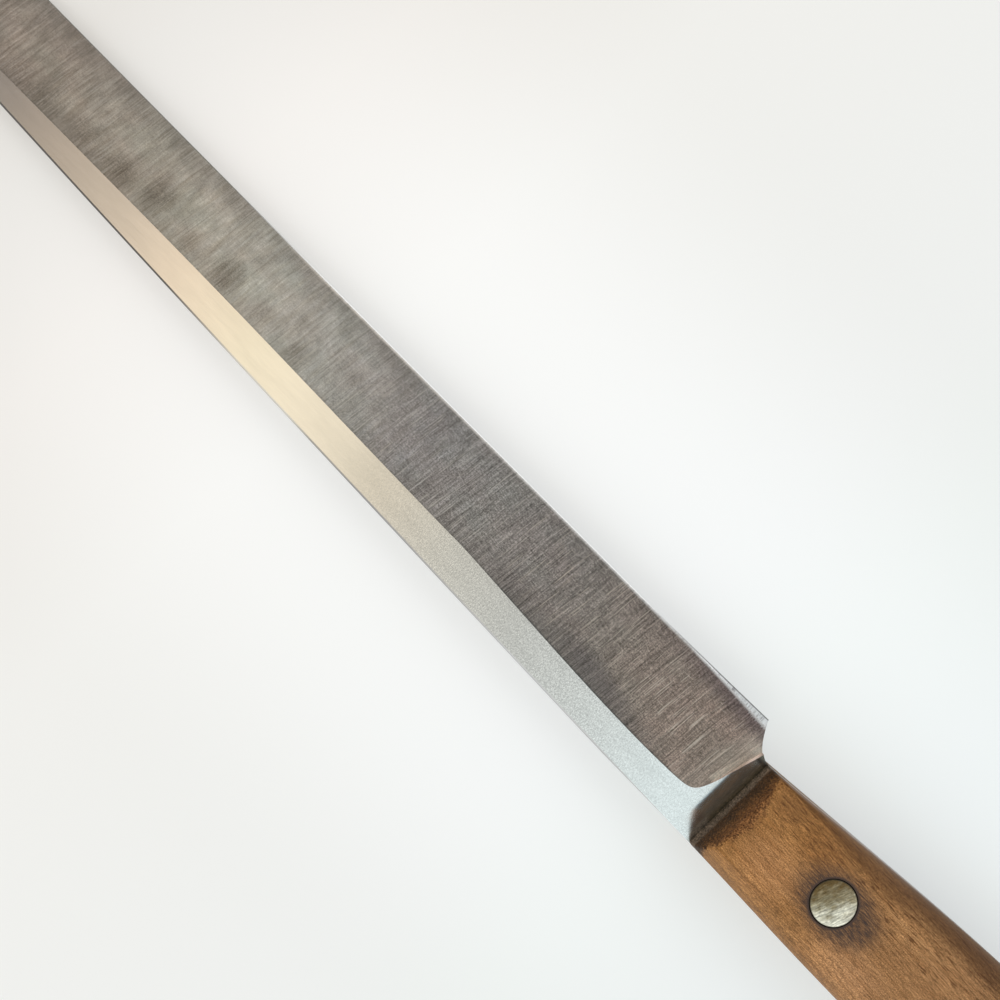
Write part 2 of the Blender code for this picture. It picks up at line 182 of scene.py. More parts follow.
# Stains on the facet: station, depth, reach, stretch, strength, tone
FACET_STAINS = [
    (0.1783, -0.0112, 0.0032, 1.9, 0.5, (0.21, 0.19, 0.165)),
    (0.169, -0.0115, 0.0028, 2.0, 0.45, (0.21, 0.19, 0.165)),
    (0.1585, -0.0112, 0.0033, 1.4, 0.8, (0.2, 0.18, 0.155)),
    (0.1507, -0.0132, 0.0042, 1.1, 0.74, (0.17, 0.155, 0.135)),
    (0.1409, -0.0115, 0.0028, 1.3, 0.5, (0.21, 0.19, 0.165)),
    (0.1318, -0.0119, 0.0038, 1.3, 0.8, (0.18, 0.165, 0.145)),
    (0.1225, -0.0118, 0.0028, 1.3, 0.35, (0.22, 0.2, 0.18)),
    (0.113, -0.0109, 0.0028, 1.4, 0.42, (0.18, 0.165, 0.15)),
    (0.034, -0.0092, 0.0028, 5.0, 0.6, (0.12, 0.11, 0.115)),
    (0.056, -0.0105, 0.0026, 4.0, 0.35, (0.18, 0.165, 0.165)),
]

# A stretch so long that height doesn't count
ANY_HEIGHT = 1000.0

# Lighter and darker parts of the wood: station, depth, reach, stretch, tone
WOOD_PATCHES = [
    (-0.0088, -0.0078, 0.008, 1.2, (1.38, 1.43, 1.72)),
    (-0.03, -0.005, 0.006, 2.1, (1.42, 1.46, 1.62)),
    (-0.0345, -0.0189, 0.005, 2.8, (1.32, 1.36, 1.38)),
    (-0.013, -0.0163, 0.0048, 1.5, (0.77, 0.73, 0.71)),
    (-0.0043, -0.0176, 0.0048, 1.1, (0.78, 0.77, 0.8)),
]

# The border of the wood's dark front: its middle as a share of the front's width, and how much it bends
END_BORDER_MIDDLE = 0.55
END_BORDER_BEND = 50.0

# The floor's gap under the knife, its reach, where it is brightest across the knife, and how far its
# own pale colour shows through the shadow
FLOOR_GAP = 0.00002
FLOOR_REACH = 1.2
FLOOR_BRIGHT_LINE = -0.0058
FLOOR_GLOW = 0.4

# The lamp, and the room's light from the edge's side and from the back's side
LAMP_PLACE = (0.0, 0.75, 0.8)
LAMP_TURN = math.radians(-43)
LAMP_SIZE = (1.2, 0.8)
LAMP_POWER = 0.5
ROOM_NEAR_EDGE = (1.24, 1.26, 1.28)
ROOM_NEAR_BACK = (1.04, 1.06, 1.08)
LOWEST_RISE = 0.04

# The photograph's view: straight down, over the middle of the picture
CAMERA_PLACE = (0.00454, -0.00576, 0.142)
CAMERA_TURN = math.radians(225.6)
CAMERA_LENS = 26.28

half_steel = STEEL_THICKNESS / 2
taper = (STEEL_THICKNESS - POINT_THICKNESS) / 2 / (BLADE_LENGTH - TAPER_START)
half_handle = HANDLE_THICKNESS / 2
point = Vector((BLADE_LENGTH, -POINT_DEPTH))
heel = Vector((HEEL_SETBACK, -HEEL_DEPTH))
back_corner = Vector((0.0, 0.0))
neck = Vector((0.0, -FRONT_WIDTH))


# Outlines

def bezier(start, lead_out, lead_in, end, steps):
    corners = [Vector((p[0], p[1], 0.0)) for p in (start, lead_out, lead_in, end)]
    return [p.to_2d() for p in interpolate_bezier(*corners, steps + 1)][:-1]


def curve(name, start, end):
    (out_reach, out_rise), (in_reach, in_rise), steps = CURVES[name]
    reach = end.x - start.x
    rise = end.y - start.y
    lead_out = start + Vector((reach * out_reach, rise * out_rise))
    lead_in = end - Vector((reach * in_reach, rise * in_rise))
    return bezier(start, lead_out, lead_in, end, steps)


def edge_run():
    """The cutting edge from the heel to the point, with its worn part and its belly."""
    worn = Vector((HEEL_SETBACK + WORN_LENGTH, -WORN_DEPTH))
    belly = Vector((BLADE_LENGTH - BELLY_LENGTH, -EDGE_DEPTH))
    rise_to_point = Vector((math.cos(POINT_ANGLE), math.sin(POINT_ANGLE)))
    belly_lead, point_lead = BELLY_LEADS
    belly_part = bezier(belly, belly + Vector((BELLY_LENGTH * belly_lead, BELLY_LIFT)),
                        point - rise_to_point * BELLY_LENGTH * point_lead, point, BELLY_STEPS)
    return curve("worn edge", heel, worn) + curve("straight edge", worn, belly) + belly_part


def back_run():
    square_end = Vector((BACK_STRAIGHT, 0))
    return curve("back", point, square_end) + [square_end]


def heel_run():
    return curve("heel hollow", neck, heel)


def handle_run():
    swell = Vector((-BACK_SWELL_STATION, BACK_SWELL))
    shoulder = Vector((-HANDLE_LENGTH + BACK_ROUND, -BACK_ROUND_DROP))
    butt = Vector((-HANDLE_LENGTH, -BUTT_DEPTH))
    beak = Vector((-HANDLE_LENGTH + BEAK_TO_BUTT, -BEAK_DEPTH))
    waist = Vector((-HANDLE_LENGTH + WAIST_TO_BUTT, -WAIST_DEPTH))
    palm = Vector((-PALM_STATION, -PALM_DEPTH))
    return (
        curve("handle back", back_corner, swell)
        + curve("handle rear", swell, shoulder)
        + curve("back round", shoulder, butt)
        + curve("butt", butt, beak)
        + curve("beak", beak, waist)
        + curve("grip", waist, palm)
        + curve("palm", palm, neck)
    )


def rivet_places():
    front = -RIVET_FROM_FRONT
    rear = -HANDLE_LENGTH + RIVET_TO_BUTT
    return [Vector((x, -depth)) for x, depth in zip((front, (front + rear) / 2, rear), RIVET_DEPTHS)]


steel_outline = edge_run() + back_run() + handle_run() + heel_run()
handle_outline = handle_run() + [neck]
low_y = min(p.y for p in steel_outline)
high_y = max(p.y for p in steel_outline)
to_origin = Vector(((HANDLE_LENGTH - BLADE_LENGTH) / 2, -(low_y + high_y) / 2, half_handle))


def quarter_turn(steps):
    """Angles from 0 to a right angle."""
    return [math.radians(90) * step / steps for step in range(steps + 1)]


def world(x, y, z=0.0):
    """A place on the knife, in the frame that every piece and material uses."""
    return Vector((x, y, z)) + to_origin


# Mesh helpers

def new_object(name, data):
    data.name = name
    item = bpy.data.objects.new(name, data)
    bpy.context.scene.collection.objects.link(item)
    return item


def mesh_of(bm, outwards=True):
    if outwards:
        bmesh.ops.recalc_face_normals(bm, faces=bm.faces)
    mesh = bpy.data.meshes.new("mesh")
    bm.to_mesh(mesh)
    bm.free()
    return mesh


def finished(item, *helpers):
    """The item's mesh with its modifiers worked in. The item and its helpers go."""
    evaluated = item.evaluated_get(bpy.context.evaluated_depsgraph_get())
    mesh = bpy.data.meshes.new_from_object(evaluated)
    for old in (item, *helpers):
        bpy.data.objects.remove(old)
    return mesh


def plate(outline, thickness):
    guide_curve = bpy.data.curves.new("outline", "CURVE")
    guide_curve.dimensions = "2D"
    guide_curve.fill_mode = "BOTH"
    guide_curve.extrude = thickness / 2
    spline = guide_curve.splines.new("POLY")
    spline.points.add(len(outline) - 1)
    for spline_point, place in zip(spline.points, outline):
        spline_point.co = (place.x, place.y, 0, 1)
    spline.use_cyclic_u = True
    bm = bmesh.new()
    bm.from_mesh(finished(new_object("outline", guide_curve)))
    bmesh.ops.remove_doubles(bm, verts=bm.verts, dist=MERGE_DISTANCE)
    return mesh_of(bm)


def cut(item, cutter, operation="DIFFERENCE"):
    boolean = item.modifiers.new(cutter.name, "BOOLEAN")
    boolean.operation = operation
    boolean.solver = "EXACT"
    boolean.object = cutter


def place_on_knife(mesh):
    for vertex in mesh.vertices:
        vertex.co += to_origin
    return mesh


def height_at(run, x):
    """Y of a run of points at station x, carried on straight past both ends."""
    points = sorted(run, key=lambda p: p.x)
    for end, inner in (points[:2], points[:-3:-1]):
        if (x - end.x) * (inner.x - end.x) < 0:
            return end.y + (x - end.x) * (inner.y - end.y) / (inner.x - end.x)
    return float(np.interp(x, [p.x for p in points], [p.y for p in points]))


# Blade

def grinding_line():
    start = Vector((GRIND_START, -FLAT_AT_HEEL))
    swell = Vector((SWELL_STATION, -FLAT_AT_SWELL))
    belly = Vector((BELLY_STATION, -FLAT_AT_BELLY))
    last = Vector((RUN_OFF_START, -FLAT_AT_RUN_OFF))
    run_off = Vector((RUN_OFF_STATION, height_at(back_run(), RUN_OFF_STATION)))
    return (
        curve("grinding line by the heel", start, swell)
        + curve("grinding line", swell, belly)
        + [belly]
        + curve("grinding line run-off", last, run_off)
        + [run_off]
    )


def half_thickness(x):
    """Half the steel's thickness at a station, with the taper."""
    return half_steel - max(x - TAPER_START, 0) * taper


def bevel_width(x):
    """Width of the honed bevel at a station: wider by the heel."""
    share = min(max(1 - (x - HEEL_SETBACK) / HEEL_BEVEL_LENGTH, 0), 1)
    return EDGE_BEVEL + (HEEL_BEVEL - EDGE_BEVEL) * share ** HEEL_BEVEL_FALL


def shoulder_at(edge, x):
    """Y of the edge and of the shoulder above its bevel at a station."""
    edge_y = height_at(edge, x)
    slope = (height_at(edge, x + SLOPE_STEP) - height_at(edge, x - SLOPE_STEP)) / (2 * SLOPE_STEP)
    return edge_y, edge_y + bevel_width(x) * math.hypot(1, slope)


def loft(name, sections):
    """A closed solid through sections with the same number of corners."""
    bm = bmesh.new()
    rings = [[bm.verts.new(corner) for corner in section] for section in sections]
    for ring, following in zip(rings, rings[1:]):
        for corner in range(len(ring)):
            after = (corner + 1) % len(ring)
            bm.faces.new((ring[corner], ring[after], following[after], following[corner]))
    bm.faces.new(rings[0])
    bm.faces.new(rings[-1][::-1])
    return new_object(name, mesh_of(bm))


def wheel_cutter():
    """What the wheel takes off one side, from a loft of cross sections along the blade."""
    edge = edge_run() + [point]
    line = grinding_line()
    count = round((BLADE_LENGTH + 2 * CUT_MARGIN) / SECTION_SPACING)
    sections = []
    for x in np.linspace(-CUT_MARGIN, BLADE_LENGTH + CUT_MARGIN, count):
        edge_y, shoulder_y = shoulder_at(edge, x)
        line_y = height_at(line, x)
        half = half_thickness(x)
        facet = (half - SHOULDER_THICKNESS / 2) / (line_y - shoulder_y)
        bevel = (SHOULDER_THICKNESS - EDGE_THICKNESS) / 2 / (shoulder_y - edge_y)
        sections.append([
            (x, line_y + CUT_MARGIN, half + facet * CUT_MARGIN),
            (x, shoulder_y, SHOULDER_THICKNESS / 2),
            (x, edge_y - CUT_MARGIN, EDGE_THICKNESS / 2 - bevel * CUT_MARGIN),
            (x, edge_y - CUT_MARGIN, half_steel + CUT_MARGIN),
            (x, line_y + CUT_MARGIN, half_steel + CUT_MARGIN),
        ])
    return loft("wheel_cutter", sections)


def wheel_end():
    """The plan of the ground area with its rounded heel corner, leaning with the wheel's draft."""
    line_end = Vector((GRIND_START, -FLAT_AT_HEEL))
    entry = line_end + Vector((CORNER_AHEAD, CORNER_RISE))
    foot = line_end + Vector((-CORNER_BEHIND, -CORNER_DROP))
    clear = 5 * CUT_MARGIN
    far = BLADE_LENGTH + 2 * clear
    below = -HEEL_DEPTH - clear
    plan = (
        [Vector((far, clear)), Vector((entry.x + clear, clear))]
        + curve("facet corner", entry, foot)
        + [foot, Vector((foot.x + (below - foot.y) * math.tan(GRIND_SLANT), below)),
           Vector((far, below))]
    )
    mesh = plate(plan, 2 * (half_steel + CUT_MARGIN))
    for vertex in mesh.vertices:
        vertex.co.x += (half_steel - vertex.co.z) * math.tan(WHEEL_DRAFT)
    return new_object("wheel_end", mesh)


def taper_cutter():
    """The wedge that thins one side of the steel towards the point."""
    start = TAPER_START - CUT_MARGIN
    far = BLADE_LENGTH + CUT_MARGIN
    top = half_steel + CUT_MARGIN
    profile = [(start, half_steel + CUT_MARGIN * taper), (far, half_thickness(far)),
               (far, top), (start, top)]
    reach = HEEL_DEPTH + CUT_MARGIN
    return loft("taper_cutter", [[(x, y, z) for x, z in profile] for y in (-reach, reach)])


# The blade's finishes, and how level a face of each is: the height of its normal
FLAT, FACET, SHARPENED, RUN_OUT, SIDES = range(5)
SIDES_BELOW = 0.01
FLAT_ABOVE = 0.99995
FACET_ABOVE = 0.985


def kind_of_face(face, edge):
    """Which finish of the blade a face belongs to."""
    level = abs(face.normal.z)
    middle = face.calc_center_median()
    if level < SIDES_BELOW:
        return SIDES
    if level > FLAT_ABOVE:
        return FLAT
    if middle.y < shoulder_at(edge, middle.x)[1] + MERGE_DISTANCE:
        return SHARPENED
    return FACET if level > FACET_ABOVE else RUN_OUT


def cut_blade():
    """The steel with its taper and both ground sides."""
    blade = new_object("steel_blank", plate(steel_outline, STEEL_THICKNESS))
    wheel, end, wedge = wheel_cutter(), wheel_end(), taper_cutter()
    cut(wheel, end, "INTERSECT")
    cut(blade, wedge)
    cut(blade, wheel)
    mirror = blade.modifiers.new("other_side", "MIRROR")
    mirror.use_axis = (False, False, True)
    mirror.use_bisect_axis = (False, False, True)
    mirror.merge_threshold = MERGE_DISTANCE
    mirror.bisect_threshold = MERGE_DISTANCE
    return finished(blade, wheel, end, wedge)


def on_back(vertex):
    """Whether a vertex lies where the back's edges are rounded."""
    last = RUN_OFF_STATION - BACK_ROUND_BEFORE_RUN_OFF
    return BACK_ROUND_START < vertex.co.x < last and vertex.co.y > -BACK_ROUND_DEPTH


def round_back(bm):
    back = [e for e in bm.edges if len(e.link_faces) == 2
            and {f.material_index for f in e.link_faces} == {FLAT, SIDES}
            and all(on_back(vertex) for vertex in e.verts)]
    made = bmesh.ops.bevel(bm, geom=back, offset=BACK_EDGE_ROUND, segments=BACK_EDGE_STEPS, profile=0.5,
                           affect="EDGES", clamp_overlap=False)
    for face in made["faces"]:
        face.material_index = SIDES
        face.smooth = True


def keep_creases(bm):
    """Shades smoothly within a finish only, and only over shallow angles."""
    for e in bm.edges:
        if len(e.link_faces) == 2:
            first, second = e.link_faces
            same = first.material_index == second.material_index
            e.smooth = same and e.calc_face_angle(0) < SMOOTH_ANGLE_STEEL


def mark_distances(bm, edge):
    """Gives the finishes their place on the blade, and their distances from shoulder and rim, as UVs."""
    along = bm.loops.layers.uv.new("along_blade")
    across = bm.loops.layers.uv.new("across_blade")
    line = grinding_line()
    for face in bm.faces:
        for loop in face.loops:
            x, y = loop.vert.co.xy
            edge_y, shoulder_y = shoulder_at(edge, x)
            from_rim = y - edge_y if face.material_index == SHARPENED else height_at(line, x) - y
            loop[along].uv = (x, y)
            loop[across].uv = (y - shoulder_y, from_rim)


def make_blade(materials):
    mesh = cut_blade()
    mesh.materials.clear()
    for material in materials:
        mesh.materials.append(material)
    bm = bmesh.new()
    bm.from_mesh(mesh)
    edge = edge_run() + [point]
    for face in bm.faces:
        face.material_index = kind_of_face(face, edge)
        face.smooth = True
    round_back(bm)
    keep_creases(bm)
    mark_distances(bm, edge)
    bm.to_mesh(mesh)
    bm.free()
    return new_object("blade_steel", place_on_knife(mesh))


# Scales

def side_section(x, edge_side):
    """How a scale's side is rounded at a station: width, height, and squareness of the rounding."""
    share = min(max(-x / FRONT_SECTION_LENGTH, 0), 1)
    share = share * share * (3 - 2 * share)
    front = EDGE_SIDE_AT_FRONT if edge_side else BACK_SIDE_AT_FRONT
    return [start + (end - start) * share for start, end in zip(front, SIDE_SECTION)]


def scale_stations():
    """Points round a scale from the back to the edge side: place, way inwards, and front inset."""
    chain = handle_outline
    middle = []
    for before, place, after in zip(chain, chain[1:], chain[2:]):
        along = (after - before).normalized()
        if place.x < -SIDE_POINTS_START:
            middle.append((place, Vector((-along.y, along.x)), 0.0))
    backs = []
    edges = []
    for turn in quarter_turn(FRONT_STEPS):
        x = -FRONT_ROUND * (1 - math.cos(turn))
        inset = FRONT_ROUND * (1 - math.sin(turn))
        back_y = height_at(chain[:FRONT_NEIGHBOURS], x)
        edge_y = height_at(chain[-FRONT_NEIGHBOURS:], x)
        backs.append((Vector((x, back_y)), Vector((0, -1)), inset))
        edges.append((Vector((x, edge_y)), Vector((0, 1)), inset))
    return backs, middle, edges[::-1]


def scale_blank():
    inner = half_steel + BED_GAP
    backs, middle, edges = scale_stations()
    bm = bmesh.new()
    rings = []
    for place, inwards, inset in backs + middle + edges:
        width, height, squareness = side_section(place.x, inwards.y > 0)
        foot = place + inwards * inset
        column = [bm.verts.new((foot.x, foot.y, inner))]
        centre = place + inwards * width
        for turn in quarter_turn(ROUND_STEPS):
            outwards = max(math.cos(turn), 0) ** (2 / squareness) * (width - inset)
            upwards = math.sin(turn) ** (2 / squareness) * (height - inset)
            rim = centre - inwards * outwards
            column.append(bm.verts.new((rim.x, rim.y, half_handle - height + upwards)))
        rings.append(column)
    for column, following in zip(rings, rings[1:]):
        for low in range(len(column) - 1):
            bm.faces.new((column[low], column[low + 1], following[low + 1], following[low]))
    front_count = len(backs)
    for step in range(front_count - 1):
        bm.faces.new((rings[step][-1], rings[step + 1][-1], rings[-2 - step][-1], rings[-1 - step][-1]))
    bm.faces.new(rings[0] + rings[-1][::-1])
    bm.faces.new([column[0] for column in rings])
    bm.faces.new([column[-1] for column in rings[front_count - 1:len(rings) - front_count + 1]])
    return bm


def turned(profile):
    """A solid of revolution about Z: the profile runs from the top of the axis down the outside."""
    bm = bmesh.new()
    row = [bm.verts.new((radius, 0, height)) for radius, height in profile]
    for upper, lower in zip(row, row[1:]):
        bm.edges.new((upper, lower))
    item = new_object("turned", mesh_of(bm, outwards=False))
    screw = item.modifiers.new("turn", "SCREW")
    screw.steps = RIVET_STEPS
    screw.render_steps = RIVET_STEPS
    screw.use_merge_vertices = True
    screw.merge_threshold = TURNED_MERGE_DISTANCE
    return finished(item)


def make_scale(name, side, material):
    bm = scale_blank()
    scale = new_object(name, mesh_of(bm))
    pocket = HEAD_RADIUS + RIVET_CLEARANCE
    hole = TUBE_RADIUS + RIVET_CLEARANCE
    seat = half_handle - HEAD_THICKNESS - SEAT_CLEARANCE
    above = half_handle + CUT_MARGIN
    profile = [(0, above), (pocket, above), (pocket, seat), (hole, seat), (hole, 0), (0, 0)]
    cutters = []
    for place in rivet_places():
        cutter = new_object("counterbore", turned(profile))
        for vertex in cutter.data.vertices:
            vertex.co += place.to_3d()
        cut(scale, cutter)
        cutters.append(cutter)
    mesh = finished(scale, *cutters)
    if side < 0:
        for vertex in mesh.vertices:
            vertex.co.z = -vertex.co.z
        mesh.flip_normals()
    mesh.shade_smooth()
    mesh.set_sharp_from_angle(angle=SMOOTH_ANGLE_WOOD)
    mesh.materials.clear()
    mesh.materials.append(material)
    return new_object(name, place_on_knife(mesh))


# Rivets

def rim(radius, height, way):
    """The rounded edge of a head: points from its face, or to it, round to its side."""
    across = radius - HEAD_EDGE_ROUND
    up = height - HEAD_EDGE_ROUND * way
    return [(across + HEAD_EDGE_ROUND * math.sin(turn), up + way * HEAD_EDGE_ROUND * math.cos(turn))
            for turn in quarter_turn(HEAD_EDGE_STEPS)]


def rivet_profiles():
    head_inner = half_handle - HEAD_THICKNESS
    mouth = head_inner - TUBE_MOUTH_SETBACK
    floor = -head_inner + TUBE_FLOOR
    bore = TUBE_RADIUS - TUBE_WALL
    pin = ([(0, half_handle)] + rim(HEAD_RADIUS, half_handle, 1)
           + [(HEAD_RADIUS, head_inner), (SHANK_RADIUS, head_inner),
              (SHANK_RADIUS, floor + SHANK_END_GAP), (0, floor + SHANK_END_GAP)])
    tube = ([(0, floor), (bore, floor), (bore, mouth), (TUBE_RADIUS, mouth), (TUBE_RADIUS, -head_inner),
             (HEAD_RADIUS, -head_inner)] + rim(HEAD_RADIUS, -half_handle, -1)[::-1] + [(0, -half_handle)])
    return {"rivet_pins": pin, "rivet_tubes": tube}


def rivet_tree():
    """Sets one turned rivet at each point and keeps each rivet's own coordinates for its finish."""
    tree = bpy.data.node_groups.new("set_rivets", "GeometryNodeTree")
    for name, kind in (("Places", "Geometry"), ("Rivet", "Object"), ("Finish", "Material"),
                       ("Turn", "Float")):
        tree.interface.new_socket(name, in_out="INPUT", socket_type="NodeSocket" + kind)
    tree.interface.new_socket("Rivets", in_out="OUTPUT", socket_type="NodeSocketGeometry")
    add = tree.nodes.new
    given = add("NodeGroupInput")
    result = add("NodeGroupOutput")
    rivet = add("GeometryNodeObjectInfo")
    own = add("GeometryNodeStoreNamedAttribute")
    own.data_type = "FLOAT_VECTOR"
    own.inputs["Name"].default_value = "own_place"
    position = add("GeometryNodeInputPosition")
    order = add("GeometryNodeInputIndex")
    turns = add("ShaderNodeMath")
    turns.operation = "MULTIPLY"
    combine = add("ShaderNodeCombineXYZ")
    instances = add("GeometryNodeInstanceOnPoints")
    real = add("GeometryNodeRealizeInstances")
    finish = add("GeometryNodeSetMaterial")
    for source, out, target, into in (
            (given, "Rivet", rivet, "Object"), (rivet, "Geometry", own, "Geometry"),
            (position, "Position", own, "Value"), (order, "Index", turns, 0),
            (given, "Turn", turns, 1), (turns, "Value", combine, "Z"),
            (given, "Places", instances, "Points"), (own, "Geometry", instances, "Instance"),
            (combine, "Vector", instances, "Rotation"), (instances, "Instances", real, "Geometry"),
            (real, "Geometry", finish, "Geometry"), (given, "Finish", finish, "Material"),
            (finish, "Geometry", result, "Rivets")):
        tree.links.new(source.outputs[out], target.inputs[into])
    return tree


def make_rivets(name, profile, tree, material):
    bm = bmesh.new()
    for place in rivet_places():
        bm.verts.new(world(place.x, place.y))
    item = new_object(name, mesh_of(bm, outwards=False))
    one = new_object("one_rivet", turned(profile))
    modifier = item.modifiers.new("set_rivets", "NODES")
    modifier.node_group = tree
    sockets = {socket.name: socket.identifier for socket in tree.interface.items_tree}
    modifier[sockets["Rivet"]] = one
    modifier[sockets["Finish"]] = material
    modifier[sockets["Turn"]] = RIVET_TURN
    mesh = finished(item, one)
    bm = bmesh.new()
    bm.from_mesh(mesh)
    bmesh.ops.recalc_face_normals(bm, faces=bm.faces)
    bm.to_mesh(mesh)
    bm.free()
    mesh.shade_smooth()
    mesh.set_sharp_from_angle(angle=SMOOTH_ANGLE_RIVET)
    return new_object(name, mesh)


# Material helpers

class Nodes:
    """Short ways to add the shader nodes used here to a tree."""

    def __init__(self, tree):
        self.tree = tree

    def node(self, kind, inputs=None, **properties):
        made = self.tree.nodes.new("ShaderNode" + kind)
        for name, value in properties.items():
            setattr(made, name, value)
        for name, value in (inputs or {}).items():
            self.feed(made.inputs[name], value)
        return made

    def feed(self, socket, value):
        if isinstance(value, bpy.types.NodeSocket):
            self.tree.links.new(value, socket)
        elif isinstance(value, tuple) and len(value) == 3 and socket.type == "RGBA":
            socket.default_value = (*value, 1)
        else:
            socket.default_value = value

    def stretched(self, scale, turn=0.0, vector=None):
        mapping = self.node("Mapping", {"Vector": vector or self.place, "Scale": scale,
                                        "Rotation": (0, 0, turn)})
        return mapping.outputs["Vector"]

    def pattern(self, size, detail, roughness, on=None, turn=0.0, distortion=0.0):
        """Noise with patches of this size in millimetres, on the object's own coordinates or others."""
        scale = tuple(1000 / length for length in size)
        made = self.node("TexNoise", {"Vector": self.stretched(scale, turn, on), "Scale": 1.0,
                                      "Detail": detail, "Roughness": roughness, "Distortion": distortion})
        return made.outputs["Fac"]

    def band(self, value, low, high, start=0.0, end=1.0, way="SMOOTHSTEP"):
        made = self.node("MapRange", {"Value": value, "From Min": low, "From Max": high,
                                      "To Min": start, "To Max": end}, interpolation_type=way)
        return made.outputs["Result"]

    def line(self, value, low, high, start=0.0, end=1.0):
        return self.band(value, low, high, start, end, "LINEAR")

    def math(self, operation, first, second=0.0):
        return self.node("Math", {0: first, 1: second}, operation=operation).outputs["Value"]

    def times(self, first, second):
        return self.math("MULTIPLY", first, second)

    def plus(self, first, second):
        return self.math("ADD", first, second)

    def minus(self, first, second):
        return self.math("SUBTRACT", first, second)

    def largest(self, first, second):
        return self.math("MAXIMUM", first, second)

    def swing(self, value, amount):
        """How far the value lies to either side of a half, times the amount."""
        return self.times(self.minus(value, 0.5), amount)

    def length(self, vector):
        return self.node("VectorMath", {0: vector}, operation="LENGTH").outputs["Value"]

    def across(self):
        """Distances across a face of the blade: from the shoulder, and from the face's other rim."""
        return self.parts(self.node("UVMap", uv_map="across_blade").outputs["UV"])[:2]

    def toned(self, tone, value, stops):
        """The tone times a run of colours."""
        return self.mix(1.0, tone, self.ramp(value, stops), "MULTIPLY")

    def multiplied(self, tone, *patterns):
        """The tone times each pattern's low where the pattern is small, and its high where it is large."""
        for value, low, high in patterns:
            tone = self.toned(tone, value, [(0.25, low), (0.75, high)])
        return tone

    def ramp(self, value, stops):
        """A run of colours, or of plain levels, from stops of position and colour."""
        made = self.node("ValToRGB", {"Fac": value})
        elements = made.color_ramp.elements
        while len(elements) < len(stops):
            elements.new(0.5)
        for element, (position, colour) in zip(elements, stops):
            element.position = position
            element.color = (*colour, 1) if isinstance(colour, tuple) else (colour, colour, colour, 1)
        return made.outputs["Color"]

    def mix(self, share, first, second, blend="MIX"):
        made = self.node("Mix", {"Factor": share, 6: first, 7: second}, data_type="RGBA", blend_type=blend)
        return made.outputs[2]

    def parts(self, vector):
        made = self.node("SeparateXYZ", {"Vector": vector})
        return made.outputs["X"], made.outputs["Y"], made.outputs["Z"]

    def near(self, centre, reach, stretch=(1, 1, 1), soft=0.5, turn=0.0):
        """1 at a place, falling to 0 at a distance from it that is longer along a stretched axis."""
        shifted = self.node("VectorMath", {0: self.place, 1: tuple(centre)}, operation="SUBTRACT")
        straight = self.stretched((1, 1, 1), turn, shifted.outputs["Vector"])
        squeezed = self.stretched(tuple(1 / s for s in stretch), 0.0, straight)
        return self.band(self.length(squeezed), reach, reach * soft)


class Finish(Nodes):
    """A material under construction."""

    def __init__(self, name, roughness, metallic=0.0):
        self.material = bpy.data.materials.new(name)
        self.material.use_nodes = True
        super().__init__(self.material.node_tree)
        self.shader = self.tree.nodes["Principled BSDF"]
        self.shader.inputs["Metallic"].default_value = metallic
        self.place = self.node("TexCoord").outputs["Object"]
        self.rough(roughness)

    def on_knife(self):
        """Station ahead of the handle's front, depth from the handle's back corner, and height."""
        x, y, z = self.parts(self.place)
        return self.minus(x, world(0, 0).x), self.minus(y, world(0, 0).y), z

    def colour(self, value):
        self.feed(self.shader.inputs["Base Color"], value)

    def rough(self, value):
        self.feed(self.shader.inputs["Roughness"], value)

    def bump(self, height, distance, strength=1.0):
        normal = self.shader.inputs["Normal"]
        made = self.node("Bump", {"Height": height, "Distance": distance, "Strength": strength})
        if normal.is_linked:
            self.tree.links.new(normal.links[0].from_socket, made.inputs["Normal"])
        self.tree.links.new(made.outputs["Normal"], normal)


# Finishes of the blade

